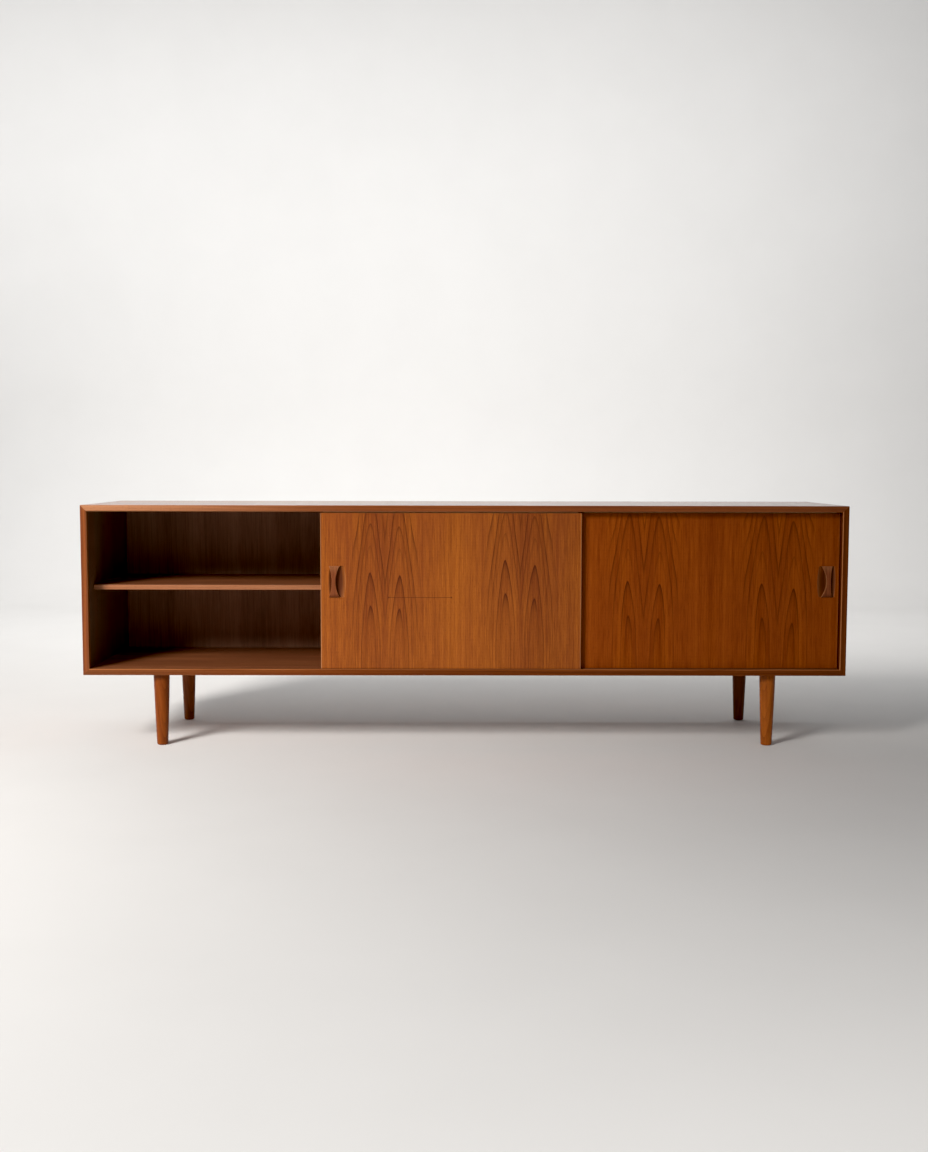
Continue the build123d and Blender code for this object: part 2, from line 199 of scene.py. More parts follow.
# ---------------------------------------------------------------- the growth of wood
# how many times each pattern repeats in a metre, across, along and through a board
WANDER_REPEATS = (4.0, 2.4, 4.0)
RIPPLE_REPEATS = (34.0, 4.0, 34.0)
PATCH_REPEATS = (26.0, 5.0, 26.0)
FIBRE_REPEATS = (430.0, 12.0, 430.0)
STRIPE_REPEATS = (130.0, 1.0, 130.0)
CLOUD_REPEATS = (11.0, 1.6, 11.0)
PORE_REPEATS = (2100.0, 110.0, 2100.0)

# A growth also gives "ring", the width of a ring in metres, "hill", how far the tree's heart lies from
# the board's face, and "drift", how fast the rings shift along the board. It may give "straight_below",
# the place along the board below which the rings run straight, "upright_from", how far beside the heart
# they run upright again, and "bold", how strong a line is beside and over the heart, which goes with
# "fading_below", the place along the board below which lines are weaker.
COMMON_GROWTH = {
    "wander": 0.018,        # how far the rings stray sideways, in metres
    "ripple": 1.1,          # their small waves, in ring widths
    "weakest": 0.20,        # the strength of the faintest ring's line
    "faint": 0.45,          # the strength of a line where it fades out in patches
    "ring_tone": 0.5,       # how much whole rings differ in tone
    "face": 0.0,            # where the board's face lies, in its through direction
    "slip": 0.02,           # how far leaves are shifted along the board against each other, in metres
    "pair_slip": 0.0,       # the same for whole mirrored pairs
}
DOOR_GROWTH = {
    **COMMON_GROWTH, "ring": 0.0105, "hill": 0.015, "drift": 0.115, "straight_below": 0.43,
    "upright_from": 0.085, "bold": (0.25, 1.45), "fading_below": 0.50, "ripple": 0.40, "weakest": 0.45,
    "faint": 0.60, "ring_tone": 0.20, "slip": 0.020, "pair_slip": 0.10,
}
LONG_GROWTH = {**COMMON_GROWTH, "ring": 0.0030, "hill": 0.110, "drift": 0.016, "slip": 0.05}
BEND_SOFTNESS = 0.20        # the length over which straight rings turn into arches
UPRIGHT_DRIFT = 0.3         # the share of the drift that is left where the rings run upright again
ARCH_SHARE = 0.4            # the share of "upright_from" within which the drift is whole
UNEVEN_RATE = 0.31          # how often the rings narrow and widen, per ring
UNEVEN_RINGS = 2.2          # how far they stray by it, in rings
BOLD_BESIDE = (0.070, 0.035)        # distances from the heart, between which lines turn bold
FADE_LENGTH = 0.12                  # the length over which they fade, under "fading_below"
FADED_LINE, FULL_LINE = 0.6, 1.2
SLOW_DARKENING, LINE_DARKENING = 0.22, 0.95
LINE_END = 0.95                     # the part of a ring at which its line starts to end


def straight_growth(ring, drift):
    """The growth of a narrow solid piece, whose lines run nearly straight."""
    return {**COMMON_GROWTH, "ring": ring, "hill": 0.0, "drift": drift}


def ring_count(graph, place, growth, shift):
    """The number of rings out to each place, and how far beside the tree's heart it lies."""
    across, along, through = place
    wander = graph.noise(graph.scaled(place, WANDER_REPEATS, (shift, shift, 0.0)))
    ripple = graph.noise(graph.scaled(place, RIPPLE_REPEATS, (shift, 0.0, 0.0)))
    bent = graph.add(across, graph.around_zero(wander, growth["wander"]))
    radius = graph.distance(bent, graph.add(through, growth["hill"]))
    sideways = graph.absolute(bent)
    climb = along
    if "straight_below" in growth:
        climb = graph.math("SMOOTH_MAX", graph.sub(along, growth["straight_below"]), 0.0, BEND_SOFTNESS)
    if "upright_from" in growth:
        start = growth["upright_from"]
        climb = graph.mul(climb, graph.smooth(sideways, start, ARCH_SHARE * start, UPRIGHT_DRIFT))
    field = graph.add(radius, graph.mul(climb, growth["drift"]))
    field = graph.add(field, graph.around_zero(ripple, growth["ripple"] * growth["ring"]))
    count = graph.math("DIVIDE", field, growth["ring"])
    uneven = graph.noise(graph.vector(graph.mul(count, UNEVEN_RATE), shift, 0.5), detail=0.0)
    return graph.add(count, graph.mul(uneven, UNEVEN_RINGS)), sideways


def line_strength(graph, luck, patch, sideways, along, growth):
    """How strongly a ring's dark line is drawn: by ring, in patches, and by its place on the board."""
    strength = graph.smooth(luck, 0.10, 0.80, growth["weakest"], 1.0)
    strength = graph.mul(strength, graph.smooth(patch, 0.28, 0.62, growth["faint"], 1.0))
    if "bold" in growth:
        strength = graph.mul(strength, graph.smooth(sideways, *BOLD_BESIDE, *growth["bold"]))
        full_from = growth["fading_below"]
        fade = graph.smooth(along, full_from - FADE_LENGTH, full_from, FADED_LINE, FULL_LINE)
        strength = graph.mul(strength, fade)
    return strength


def late_wood(graph, part):
    """A ring's profile: slowly darker towards its end, then a sharp line, and light again."""
    slow_rise = graph.mul(graph.power(part, 2.0), SLOW_DARKENING)
    profile = graph.math("MULTIPLY_ADD", graph.power(part, 7.0), LINE_DARKENING, slow_rise)
    return graph.mul(profile, graph.smooth(part, 1.0, LINE_END))


def grain(graph, across, along, through, growth, shift=0.0):
    """Growth lines, fibres and pores of one board.

    across, along and through are coordinates of the board in metres. The tree's heart runs along it
    where across is 0 and through is -hill. growth is described beside COMMON_GROWTH. shift moves the
    patterns, so that no two boards are alike.
    """
    place = (across, along, through)
    count, sideways = ring_count(graph, place, growth, shift)
    luck = graph.random(graph.math("FLOOR", count))
    patch = graph.noise(graph.scaled(place, PATCH_REPEATS, (0.0, shift, 0.0)))
    fibre = graph.noise(graph.scaled(place, FIBRE_REPEATS), detail=3.0, roughness=0.68)
    stripe = graph.noise(graph.scaled(place, STRIPE_REPEATS, (shift, 0.0, 0.0)), detail=3.0, roughness=0.65)
    pore = graph.noise(graph.scaled(place, PORE_REPEATS), detail=0.0)
    band = graph.math("MULTIPLY_ADD", luck, growth["ring_tone"], stripe)
    return {
        "line": graph.mul(
            late_wood(graph, graph.math("FRACT", count)),
            line_strength(graph, luck, patch, sideways, along, growth),
        ),
        "fibre": fibre,
        "stripe": graph.sub(band, growth["ring_tone"] / 2),
        "cloud": graph.noise(graph.scaled(place, CLOUD_REPEATS, (0.0, shift, shift))),
        "heart": graph.mul(graph.smooth(sideways, 0.050, 0.012), graph.smooth(patch, 0.36, 0.60)),
        "pore": graph.smooth(pore, 0.60, 0.72),
    }


# ---------------------------------------------------------------- the looks of teak
# A palette is a light and a dark colour.
# A look's tone comes from "dark_share", and from "cloud", "stripe", "fibre" and "heart", the strengths of
# those parts of the figure. "blush", "line" and "pore" are the strengths of the colours laid over it, and
# "worn" is how far its rounded edges are rubbed pale.
VENEER = {
    "light": (0.405, 0.112, 0.0135), "dark": (0.180, 0.037, 0.0050), "dark_share": 0.34,
    "line_colour": (0.090, 0.018, 0.0032), "blush_colour": (0.265, 0.060, 0.016),
    "cloud": 1.1, "stripe": 1.35, "fibre": 2.1, "heart": 0.16,
    "blush": 0.30, "line": 0.76, "pore": 0.32, "worn": 0.0,
    "roughness": 0.26, "relief": 0.00004, "specular": 0.18, "coat": 0.0, "coat_roughness": 0.2,
}
RED_VENEER = {
    **VENEER, "light": (0.385, 0.088, 0.0080), "dark": (0.180, 0.031, 0.0028),
    "blush_colour": (0.235, 0.047, 0.010), "specular": 0.06,
}
TOP_VENEER = {
    **VENEER, "line": 0.6, "roughness": 0.22, "specular": 0.5, "coat": 0.5, "coat_roughness": 0.12,
}
INSIDE_VENEER = {
    **VENEER, "light": (0.235, 0.080, 0.030), "dark": (0.120, 0.038, 0.014),
    "blush_colour": (0.15, 0.045, 0.018), "roughness": 0.36, "specular": 0.3,
}
SOLID = {
    **VENEER, "light": (0.255, 0.066, 0.0130), "dark": (0.145, 0.033, 0.0065), "dark_share": 0.42,
    "fibre": 1.0, "heart": 0.0, "blush": 0.0, "line": 0.60, "worn": 0.60,
    "roughness": 0.24, "specular": 0.26,
}
# painted shade: a darker copy of SOLID for the right and bottom front lippings, which get less of the
# window's light
SHADE_PAINTED_SOLID = {
    **SOLID, "light": (0.180, 0.042, 0.0060), "dark": (0.100, 0.021, 0.0030), "specular": 0.10, "worn": 1.0,
}
# painted highlight: a paler copy of SOLID for the left shelf's lipping, nearest the window, standing in for
# its sheen
SHEEN_PAINTED_SOLID = {**SOLID, "light": (0.360, 0.140, 0.0600), "dark": (0.225, 0.080, 0.0320)}
LEG_SOLID = {**SOLID, "worn": 0.0, "line": 0.5, "specular": 0.12}
PULL = {
    **SOLID, "light": (0.225, 0.062, 0.020), "dark": (0.132, 0.034, 0.011),
    "roughness": 0.30, "specular": 0.15, "worn": 0.9,
}

INSIDE = ((0.155, 0.095, 0.052), (0.080, 0.048, 0.027))
# painted light: a lit copy of the inside's palette, redder, for the right side panel's inside, which faces
# the window
PAINTED_LIT_INSIDE = ((0.215, 0.082, 0.028), (0.115, 0.041, 0.014))
# painted shade: a near black palette for the right side panel's inside beside the doors, where the gap lies
# in shade
DOOR_GAP_PAINTED_SHADE = ((0.060, 0.010, 0.0014), (0.035, 0.005, 0.0008))
# painted light: paler palettes for the left ends of the top and bottom front lippings, nearest the window;
# on the top one a painted highlight
TOP_LIP_PAINTED_HIGHLIGHT = ((0.470, 0.205, 0.0930), (0.300, 0.120, 0.0500))
BOTTOM_LIP_PAINTED_LIGHT = ((0.190, 0.058, 0.0170), (0.108, 0.031, 0.0090))
# paler wood, partly wear and partly a painted highlight, on the doors' upright edges and on the pulls' bars
WEAR_AND_PAINTED_HIGHLIGHT = ((0.460, 0.200, 0.085), (0.330, 0.130, 0.050))
# painted shade for a pull's hollows, the first for the deep parts and the second just under the door's face
HOLLOW_PAINTED_SHADE = ((0.095, 0.019, 0.0022), (0.055, 0.009, 0.0012))
HOLLOW_EDGE_PAINTED_SHADE = ((0.175, 0.045, 0.0060), (0.105, 0.024, 0.0030))
WORN_COLOUR = (0.42, 0.155, 0.055)

LEAF_CONTRAST = 0.30        # how much whole leaves of veneer differ in tone
FIBRE_ROUGHNESS = 0.16
MATT_ROUGHNESS = 0.25


def wood_material(graph, figure, look, leaf_tone=None, mark=None, regions=(), matt=None):
    """Colours and finishes a figure by a look.

    mark is the mask of a scratch. regions pairs the mask of each part of the piece that has a palette
    of its own with that palette. matt is the mask of a part that is left unpolished.
    """
    tone = graph.around_zero(figure["cloud"], look["cloud"])
    tone = graph.add(tone, graph.around_zero(figure["stripe"], look["stripe"]))
    tone = graph.add(tone, graph.around_zero(figure["fibre"], look["fibre"]))
    tone = graph.add(tone, graph.mul(figure["heart"], look["heart"]))
    if leaf_tone is not None:
        tone = graph.add(tone, leaf_tone)
    share = graph.clamped("ADD", tone, look["dark_share"])
    colour = graph.mix(share, look["light"], look["dark"])
    for mask, palette in regions:
        colour = graph.mix(mask, colour, graph.mix(share, *palette))
    blush = graph.smooth(figure["cloud"], 0.42, 0.68, 0.0, look["blush"])
    colour = graph.mix(blush, colour, look["blush_colour"])
    line = graph.clamped("MULTIPLY", figure["line"], look["line"])
    colour = graph.mix(line, colour, look["line_colour"])
    colour = graph.mix(graph.mul(figure["pore"], look["pore"]), colour, look["line_colour"])
    if look["worn"]:
        rub = graph.mul(graph.arris(), graph.smooth(figure["stripe"], 0.30, 0.62, 0.25, 1.0))
        colour = graph.mix(graph.mul(rub, look["worn"]), colour, WORN_COLOUR)
    if mark is not None:
        colour = graph.mix(mark, colour, look["line_colour"])
    height = graph.sub(graph.mul(figure["fibre"], 0.5), figure["pore"])
    height = graph.sub(height, graph.mul(figure["line"], 0.6))
    roughness = graph.math("MULTIPLY_ADD", figure["fibre"], FIBRE_ROUGHNESS, look["roughness"])
    if matt is not None:
        roughness = graph.math("MULTIPLY_ADD", matt, MATT_ROUGHNESS, roughness)
    return graph.finish(
        colour, roughness, height, look["relief"], Specular_IOR_Level=look["specular"],
        Coat_Weight=look["coat"], Coat_Roughness=look["coat_roughness"],
    )


# ---------------------------------------------------------------- veneered and solid pieces
# places behind the case's front edge, between which the inside's palette begins, and between which the
# painted shade beside the doors ends
INSIDE_BEGINS = (0.010, 0.020)
DOOR_GAP_SHADE_ENDS = (0.032, 0.026)


def folded(graph, across, seam, leaf):
    """Distance from the nearest matching seam, and the numbers of the leaf and of its mirrored pair."""
    run = graph.sub(across, seam)
    count = graph.math("DIVIDE", run, leaf)
    pair = graph.math("FLOOR", graph.math("MULTIPLY_ADD", count, 0.5, 0.5))
    return graph.math("PINGPONG", run, leaf), graph.math("FLOOR", count), pair


def veneer(name, axes, seam, leaf, arch, growth, look=VENEER, shift=0.0, marks=None, inner=None,
           inner_palette=INSIDE, paint_door_gap_shade=False):
    """A board faced with book-matched leaves. axes names the across, along and through axes.

    seam is the place of a matching seam across the board, leaf a leaf's width, and arch the distance
    from a seam to the middle of an arch. marks makes the mask of a scratch. inner gives two places
    through the board, between which its face changes to the case's inside. The last argument darkens
    the inside's foremost strip, beside the doors, with painted shade, where the gap lies in shade.
    """
    graph = Graph(name)
    place = graph.place()
    across, along, through = (place["xyz".index(axis)] for axis in axes)
    run, leaf_number, pair = folded(graph, across, seam, leaf)
    slip = graph.mul(graph.random(leaf_number), growth["slip"])
    slip = graph.add(slip, graph.mul(graph.random(graph.add(pair, shift)), growth["pair_slip"]))
    figure = grain(
        graph, graph.sub(run, arch), graph.add(along, slip), graph.sub(through, growth["face"]),
        growth, shift,
    )
    leaf_tone = graph.around_zero(graph.random(graph.add(leaf_number, shift)), LEAF_CONTRAST)
    mark = marks(graph, place) if marks else None
    regions = []
    if inner is not None:
        behind = graph.smooth(place[1], *(low.y + depth for depth in INSIDE_BEGINS))
        inside = graph.smooth(through, *inner)
        regions.append((graph.mul(inside, behind), inner_palette))
        # painted shade: the inside's foremost strip, beside the doors, darkened where the gap lies in shade
        if paint_door_gap_shade:
            corner = graph.smooth(place[1], *(low.y + depth for depth in DOOR_GAP_SHADE_ENDS))
            regions.append((graph.mul(inside, corner), DOOR_GAP_PAINTED_SHADE))
    return wood_material(graph, figure, look, leaf_tone, mark, regions)


def solid(name, axes, heart, growth, look=SOLID, shift=0.0, areas=None):
    """A solid piece. heart is the place of the tree's middle, across and through the piece.

    areas makes the masks and palettes of parts with a palette of their own, and the unpolished part.
    """
    graph = Graph(name)
    place = graph.place()
    across, along, through = (place["xyz".index(axis)] for axis in axes)
    figure = grain(graph, graph.sub(across, heart[0]), along, graph.sub(through, heart[1]), growth, shift)
    regions, matt = areas(graph, across, along, through) if areas else ((), None)
    return wood_material(graph, figure, look, regions=regions, matt=matt)


def painted_light_along(start, end, palette):
    """Painted light: a paler palette that comes in from one place along the piece to another."""
    def areas(graph, across, along, through):
        return [(graph.smooth(along, start, end), palette)], None
    return areas


PALE_EDGE_WIDTH, PALE_EDGE_FULL = 0.0034, 0.0012      # from a door's edge


def pale_door_edges(left, right, strength):
    """Paler along both of a door's upright edges, partly wear and partly a painted highlight where they
    catch the light.
    """
    def areas(graph, across, along, through):
        near_left = graph.smooth(across, left + PALE_EDGE_WIDTH, left + PALE_EDGE_FULL)
        near_right = graph.smooth(across, right - PALE_EDGE_WIDTH, right - PALE_EDGE_FULL)
        return [(graph.mul(graph.math("MAXIMUM", near_left, near_right), strength), WEAR_AND_PAINTED_HIGHLIGHT)], None
    return areas


# a pull's depths, from the door's face inwards
BAR_TOP_DEPTHS = (-0.0012, -0.0002)
SUNK_DEPTHS = (0.0001, 0.0004)
GROOVE_DEPTHS = (0.0002, 0.0018)
SCOOP_DEPTHS = (0.0020, 0.0074)
WALL_DEPTHS = (0.0055, 0.0030)
STEEP_NORMAL = (0.74, 0.86)               # how far sideways the bar's upright walls face
GROOVE_BLEND = 0.001
PAINTED_HIGHLIGHT_END, PAINTED_SHADE_END = (0.066, 0.088), (0.012, 0.0)     # along the bar, from its foot: a painted highlight near its top end, painted shade at its foot


def carved(face, rim, bar_foot, bar_edge, outward):
    """A pull: its rim matches the door, its hollows darken with depth in painted shade, and the bar's sides
    are paler, partly wear and partly a painted highlight. The bar's top end has a painted highlight and
    its foot painted shade.

    bar_foot is the height of the bar's lower end. bar_edge is the place of the bar's outer edge, beyond
    which the hollow is a shallow one. outward is 1 where that is towards +X, and -1 otherwise.
    """
    def areas(graph, across, along, through):
        def depth(limits):
            return graph.smooth(through, *(face + limit for limit in limits))

        level = depth(BAR_TOP_DEPTHS)
        sideways = graph.absolute(graph.coordinates("Normal")[0])
        beyond = graph.smooth(across, bar_edge, bar_edge + outward * GROOVE_BLEND)
        deep = graph.math("MAXIMUM", graph.mul(beyond, depth(GROOVE_DEPTHS)), depth(SCOOP_DEPTHS))
        wall = graph.mul(graph.smooth(sideways, *STEEP_NORMAL), depth(WALL_DEPTHS))
        on_bar = graph.sub(1.0, level)
        highlight_end = graph.smooth(along, *(bar_foot + place for place in PAINTED_HIGHLIGHT_END), 0.0, 0.30)
        shade_end = graph.smooth(along, *(bar_foot + place for place in PAINTED_SHADE_END), 0.0, 0.85)
        # painted shade in the hollows and at the bar's foot, a painted highlight on its top end, and its
        # upright walls paler: partly finger wear, partly a painted highlight where they catch the light
        return [
            (level, rim),
            (graph.mul(depth(SUNK_DEPTHS), 0.8), HOLLOW_EDGE_PAINTED_SHADE),
            (deep, HOLLOW_PAINTED_SHADE),
            (graph.mul(wall, 0.8), WEAR_AND_PAINTED_HIGHLIGHT),
            (graph.mul(on_bar, highlight_end), WEAR_AND_PAINTED_HIGHLIGHT),
            (graph.mul(on_bar, shade_end), HOLLOW_PAINTED_SHADE),
        ], deep
    return areas


def dress(node, material):
    nodes[node].data.materials.clear()
    nodes[node].data.materials.append(material)


# ---------------------------------------------------------------- doors
LEAF = 0.194
FIRST_SEAM = 0.185          # from a door's left edge
ARCH = 0.042                # the middle of an arch, from the seam
DOOR_LOOK = {"left": VENEER, "middle": VENEER, "right": RED_VENEER}
# how pale each door's upright edges are, partly wear and partly a painted highlight, weakest on the right
# door, which gets less light
EDGE_WEAR_AND_HIGHLIGHT = {"left": 0.75, "middle": 0.75, "right": 0.15}
BAR_INSET = {"left": 0.009, "middle": 0.009, "right": 0.014}      # from the pull's outer side to its bar
SCRATCH = {"from": 0.194, "to": 0.378, "height": 0.4355}          # from the door's left edge and the floor
SCRATCH_WAVER, WAVER_REPEATS = 0.0012, (30.0, 1.0, 1.0)
SCRATCH_EDGE = (0.0015, 0.0005)         # half its width, where it begins and where it is full
SCRATCH_END = 0.004
DENT_EDGE = (0.0036, 0.0012)            # the same for a dent's radius


def scratch(door_left):
    """A fine level scratch across one leaf of the door, with a small dent at each end."""
    half = (SCRATCH["to"] - SCRATCH["from"]) / 2
    middle = door_left + (SCRATCH["from"] + SCRATCH["to"]) / 2

    def marks(graph, place):
        x, _, z = place
        sideways = graph.absolute(graph.sub(x, middle))
        waver = graph.around_zero(graph.noise(graph.scaled(place, WAVER_REPEATS)), SCRATCH_WAVER)
        upward = graph.absolute(graph.sub(graph.add(z, waver), SCRATCH["height"]))
        stroke = graph.mul(
            graph.smooth(upward, *SCRATCH_EDGE), graph.smooth(sideways, half, half - SCRATCH_END),
        )
        ends = graph.absolute(graph.sub(sideways, half - SCRATCH_END / 2))
        dent = graph.smooth(graph.distance(ends, upward), *DENT_EDGE)
        return graph.mul(graph.math("MAXIMUM", graph.mul(stroke, 0.8), dent), 0.85)
    return marks


def dress_doors():
    for number, door in enumerate(DOORS):
        left_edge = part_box(f"{door}_door_left_edging")[0].x
        right_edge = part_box(f"{door}_door_right_edging")[1].x
        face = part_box(f"{door}_door_panel")[0].y
        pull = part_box(f"{door}_door_pull")
        look = DOOR_LOOK[door]
        rim = (look["light"], look["dark"])
        shift = 3.7 * number
        dress(f"{door}_door_panel", veneer(
            f"{door}_door_veneer", "xzy", seam=left_edge + FIRST_SEAM, leaf=LEAF, arch=ARCH,
            growth={**DOOR_GROWTH, "face": face}, look=look, shift=shift,
            marks=scratch(left_edge) if door == "middle" else None,
        ))
        edge_wood = solid(
            f"{door}_door_edge_teak", "xzy", heart=(left_edge - 0.30, face - 0.12),
            growth=straight_growth(ring=0.0022, drift=0.01), shift=shift,
            look={**SOLID, "light": look["light"], "dark": look["dark"]},
            areas=pale_door_edges(left_edge, right_edge, EDGE_WEAR_AND_HIGHLIGHT[door]),
        )
        for side in ("left", "right"):
            dress(f"{door}_door_{side}_edging", edge_wood)
        if door == "right":
            bar_edge, outward = pull[1].x - BAR_INSET[door], 1
        else:
            bar_edge, outward = pull[0].x + BAR_INSET[door], -1
        dress(f"{door}_door_pull", solid(
            f"{door}_pull_teak", "xzy", heart=(pull[0].x - 0.09, face - 0.05),
            growth=straight_growth(ring=0.0024, drift=0.03), look=PULL, shift=shift,
            areas=carved(face, rim, pull[0].z, bar_edge, outward),
        ))


# ---------------------------------------------------------------- case, shelves and legs
BOARD_LEAF = 0.21
INNER_FACE = (0.006, 0.012)             # depths in a board, between which its outer face gives way
PAINTED_LIGHT_STRETCH = (-0.25, -1.10)          # where the painted light on a front lipping's left end starts and is complete
LIPPING_HEART = (0.22, 0.16)            # how far the tree's middle lies below and before a lipping


def dress_sides():
    """The side panels with their front lippings, and the partitions with theirs."""
    for number, side in enumerate(("left", "right")):
        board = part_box(f"{side}_panel")
        outside, inward = board[number].x, 1 - 2 * number
        # the right panel's inside is painted as lit, and its strip beside the doors gets painted shade
        dress(f"{side}_panel", veneer(
            f"{side}_panel_veneer", "yzx", seam=0.0, leaf=BOARD_LEAF, arch=0.055,
            growth={**DOOR_GROWTH, "face": outside}, shift=2.1 + number,
            inner=tuple(outside + depth * inward for depth in INNER_FACE),
            inner_palette=(INSIDE, PAINTED_LIT_INSIDE)[number], paint_door_gap_shade=side == "right",
        ))
        dress(f"{side}_front_lipping", solid(
            f"{side}_lipping_teak", "xzy", heart=(board[0].x - 0.25, low.y - LIPPING_HEART[1]),
            growth=straight_growth(ring=0.0020, drift=0.006), look=(SOLID, SHADE_PAINTED_SOLID)[number],
            shift=6.0 + number,
        ))
        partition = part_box(f"{side}_partition")
        dress(f"{side}_partition", veneer(
            f"{side}_partition_veneer", "yzx", seam=-0.05, leaf=BOARD_LEAF, arch=0.05,
            growth={**DOOR_GROWTH, "face": partition[number].x}, shift=7.7 + number,
        ))
        dress(f"{side}_partition_lipping", solid(
            f"{side}_partition_lipping_teak", "xzy", heart=(partition[0].x - 0.2, -0.4),
            growth=straight_growth(ring=0.0022, drift=0.008), shift=4.0 + number,
        ))


def dress_top_and_bottom():
    """The top and bottom panels and their front lippings, painted paler towards the left, nearest the
    window.
    """
    top_face, floor_face = high.z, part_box("bottom_panel")[1].z
    dress("top_panel", veneer(
        "top_panel_veneer", "yxz", seam=0.0, leaf=BOARD_LEAF, arch=0.060,
        growth={**LONG_GROWTH, "face": top_face}, look=TOP_VENEER, shift=1.3,
        inner=tuple(top_face - depth for depth in INNER_FACE),
    ))
    dress("bottom_panel", veneer(
        "bottom_panel_veneer", "yxz", seam=0.02, leaf=BOARD_LEAF, arch=0.050,
        growth={**LONG_GROWTH, "face": floor_face}, look=INSIDE_VENEER, shift=5.1,
    ))
    for number, side in enumerate(("top", "bottom")):
        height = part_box(f"{side}_front_lipping")[0].z
        dress(f"{side}_front_lipping", solid(
            f"{side}_lipping_teak", "zxy", heart=(height - LIPPING_HEART[0], low.y - LIPPING_HEART[1]),
            growth=straight_growth(ring=0.0020, drift=0.004), look=(SOLID, SHADE_PAINTED_SOLID)[number],
            shift=8.0 + number, areas=painted_light_along(*PAINTED_LIGHT_STRETCH, (TOP_LIP_PAINTED_HIGHLIGHT, BOTTOM_LIP_PAINTED_LIGHT)[number]),
        ))


def dress_shelves():
    for number, bay in enumerate(DOORS):
        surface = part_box(f"{bay}_shelf")[1].z
        dress(f"{bay}_shelf", veneer(
            f"{bay}_shelf_veneer", "yxz", seam=0.03, leaf=0.2, arch=0.05,
            growth={**LONG_GROWTH, "face": surface}, look=INSIDE_VENEER, shift=9.0 + number,
        ))
        dress(f"{bay}_shelf_lipping", solid(
            f"{bay}_shelf_lipping_teak", "zxy", heart=(surface - 0.18, -0.3),
            growth=straight_growth(ring=0.0021, drift=0.005), look=SHEEN_PAINTED_SOLID if bay == "left" else SOLID,
            shift=9.5 + number,
        ))


# each leg's palette is painted lighter or darker for the light that falls on it: the front right leg
# painted lighter, the rear right leg darkest, in painted shade
LEG_PAINTED_LIGHT = {
    "front_left": ((0.240, 0.056, 0.0070), (0.135, 0.028, 0.0035)),
    "front_right": ((0.410, 0.110, 0.0145), (0.240, 0.054, 0.0068)),
    "rear_left": ((0.240, 0.060, 0.0100), (0.135, 0.030, 0.0046)),
    "rear_right": ((0.165, 0.039, 0.0060), (0.095, 0.020, 0.0030)),
}
LEG_HEART = (0.055, 0.075)              # how far the tree's middle lies beside and behind a leg


def dress_legs():
    for number, (leg, (light, dark)) in enumerate(LEG_PAINTED_LIGHT.items()):
        box_low, box_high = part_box(f"{leg}_leg")
        middle = (box_low + box_high) / 2
        outward = 1 if number % 2 else -1
        dress(f"{leg}_leg", solid(
            f"{leg}_leg_teak", "xzy", heart=(middle.x + outward * LEG_HEART[0], middle.y + LEG_HEART[1]),
            growth=straight_growth(ring=0.0026, drift=0.055),
            look={**LEG_SOLID, "light": light, "dark": dark}, shift=12.0 + number,
        ))


# ---------------------------------------------------------------- plywood, beech and metal
PLAIN_LOOK = {
    **VENEER, "dark_share": 0.45, "cloud": 1.9, "stripe": 0.50, "blush": 0.0, "line": 0.45, "pore": 0.18,
    "specular": 0.25,
}
PLAIN_HEART = (-2.8, -1.6)              # far off, so that the lines are straight
TARNISH_REPEATS = (160.0, 160.0, 160.0)             # in a metre
BRUSHING_REPEATS = (300.0, 4000.0, 4000.0)
BRUSHING_DEPTH = 0.00001


def plain_wood(name, axes, light, dark, roughness):
    """Plywood or beech: fine straight grain with a broad, soft change of tone."""
    line_colour = tuple(0.5 * part for part in dark)
    look = {**PLAIN_LOOK, "light": light, "dark": dark, "line_colour": line_colour, "roughness": roughness}
    growth = straight_growth(ring=0.0034, drift=0.012)
    return solid(name, axes, PLAIN_HEART, growth, look, shift=1.9)


def metal(name, colour, dull, roughness):
    """Turned metal, tarnished in soft patches and finely brushed."""
    graph = Graph(name)
    place = graph.place()
    patches = graph.noise(graph.scaled(place, TARNISH_REPEATS), detail=3.0)
    brushed = graph.noise(graph.scaled(place, BRUSHING_REPEATS))
    tint = graph.mix(graph.smooth(patches, 0.42, 0.68), colour, dull)
    rough = graph.math("MULTIPLY_ADD", brushed, 0.18, roughness)
    return graph.finish(tint, rough, brushed, BRUSHING_DEPTH, Metallic=1.0)


def dress_hardware():
    ply = plain_wood(
        "back_plywood", "xzy", light=(0.335, 0.155, 0.085), dark=(0.190, 0.085, 0.046), roughness=0.62,
    )
    beech = plain_wood("beech", "yxz", light=(0.55, 0.34, 0.17), dark=(0.42, 0.24, 0.11), roughness=0.5)
    brass = metal("aged_brass", colour=(0.62, 0.42, 0.16), dull=(0.30, 0.17, 0.06), roughness=0.28)
    steel = metal("zinc_plated_steel", colour=(0.52, 0.52, 0.50), dull=(0.32, 0.31, 0.29), roughness=0.34)
    dress("back_panel", ply)
    dress("back_panel_screws", steel)
    dress("leg_hanger_bolts", steel)
    dress("leg_threaded_inserts", brass)
    for node in ("mitre_splines", "partition_dowels"):
        dress(node, beech)
    for door in DOORS:
        dress(f"{door}_shelf_pins", brass)
        for side in ("top", "bottom"):
            dress(f"{door}_door_{side}_runner", beech)


# ---------------------------------------------------------------- floor and light
BLACK_LEVEL = 0.004                     # a print's deep blacks
ROOM_LIGHT, ROOM_SHOWN = 0.14, 0.72     # dim as a light, pale where it shows past the edge of the floor
FLOOR_REACH, FLOOR_FRONT = 9.0, -9.0
BEND_START, BEND_RADIUS, BEND_STEPS = 3.6, 1.2, 24
WALL_TOP = 5.0
FLOOR_REPEATS = (3.0, 3.0, 3.0)         # in a metre
FLOOR_COLOURS = ((0.76, 0.75, 0.735), (0.80, 0.79, 0.775))


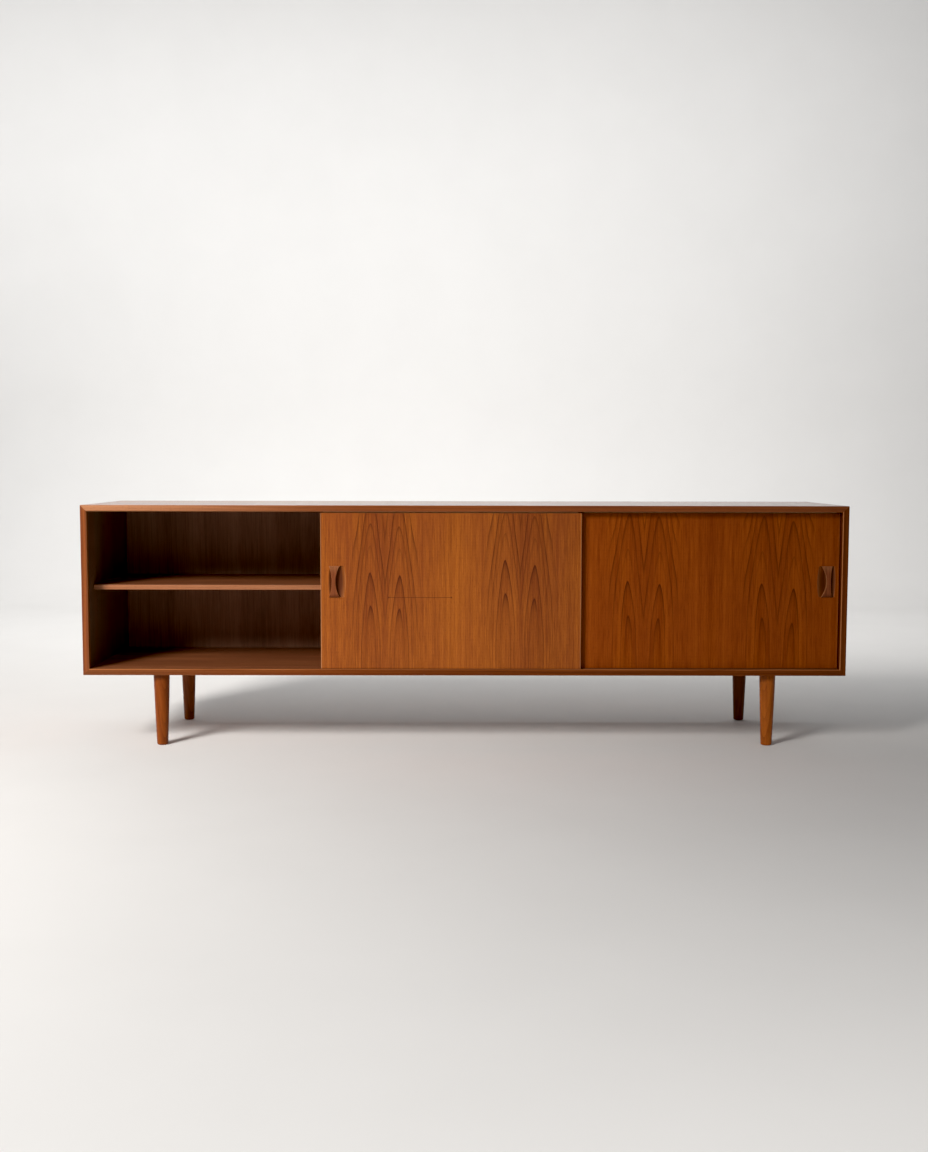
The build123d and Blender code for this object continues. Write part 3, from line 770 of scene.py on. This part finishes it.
def make_floor():
    """A pale floor that sweeps up into a plain backdrop, well behind the case."""
    profile = [(FLOOR_FRONT, 0.0), (BEND_START, 0.0)]
    for step in range(1, BEND_STEPS + 1):
        turn = math.radians(90 * step / BEND_STEPS)
        profile.append((BEND_START + BEND_RADIUS * math.sin(turn), BEND_RADIUS * (1 - math.cos(turn))))
    profile.append((BEND_START + BEND_RADIUS, WALL_TOP))
    vertices = [(side * FLOOR_REACH, y, z) for y, z in profile for side in (-1, 1)]
    faces = [(2 * n, 2 * n + 1, 2 * n + 3, 2 * n + 2) for n in range(len(profile) - 1)]
    mesh = bpy.data.meshes.new("floor")
    mesh.from_pydata(vertices, [], faces)
    mesh.shade_smooth()
    floor = bpy.data.objects.new("floor", mesh)
    bpy.context.scene.collection.objects.link(floor)
    graph = Graph("pale_floor")
    speckle = graph.noise(graph.scaled(graph.place(), FLOOR_REPEATS), detail=4.0)
    colour = graph.mix(speckle, *FLOOR_COLOURS)
    pale = graph.finish(colour, roughness=0.75, height=None, bump=None, Specular_IOR_Level=0.2)
    mesh.materials.append(pale)


def area_light(name, place, aim, size, power, colour, spread=180):
    data = bpy.data.lights.new(name, "AREA")
    data.shape = "RECTANGLE"
    data.size, data.size_y = size
    data.energy = power
    data.color = colour
    data.spread = math.radians(spread)
    lamp = bpy.data.objects.new(name, data)
    lamp.location = place
    lamp.rotation_euler = (Vector(aim) - Vector(place)).to_track_quat("-Z", "Y").to_euler()
    lamp.visible_camera = False
    bpy.context.scene.collection.objects.link(lamp)


def make_room():
    """A dim room all round, which shows pale past the edge of the floor."""
    world = bpy.data.worlds.new("room")
    world.use_nodes = True
    background = world.node_tree.nodes["Background"]
    background.inputs["Color"].default_value = (0.95, 0.97, 1.0, 1.0)
    rays = world.node_tree.nodes.new("ShaderNodeLightPath")
    strength = world.node_tree.nodes.new("ShaderNodeMapRange")
    strength.inputs["To Min"].default_value = ROOM_LIGHT
    strength.inputs["To Max"].default_value = ROOM_SHOWN
    world.node_tree.links.new(rays.outputs["Is Camera Ray"], strength.inputs["Value"])
    world.node_tree.links.new(strength.outputs["Result"], background.inputs["Strength"])
    bpy.context.scene.world = world


def make_light():
    """A window at the front left, light on the floor and on the backdrop, and a dim room."""
    area_light(
        "window", place=(-3.6, -4.6, 3.7), aim=(-1.57, -0.24, 0.45), size=(1.8, 2.2), power=62,
        colour=(1.0, 0.97, 0.94), spread=56,
    )
    area_light(
        "floor_light", place=(-0.4, -3.9, 3.4), aim=(-0.4, -3.7, 0.0), size=(6.0, 2.0), power=75,
        colour=(1.0, 0.98, 0.96), spread=96,
    )
    area_light(
        "backdrop_light", place=(-0.9, 1.7, 3.3), aim=(-0.7, 4.8, 1.5), size=(9.0, 1.6), power=188,
        colour=(1.0, 1.0, 1.0),
    )
    make_room()
    view = bpy.context.scene.view_settings
    view.view_transform = "Standard"
    view.use_curve_mapping = True
    view.curve_mapping.black_level = (BLACK_LEVEL, BLACK_LEVEL, BLACK_LEVEL)
    view.curve_mapping.update()


make_camera()
dress_doors()
dress_top_and_bottom()
dress_sides()
dress_shelves()
dress_legs()
dress_hardware()
make_floor()
make_light()
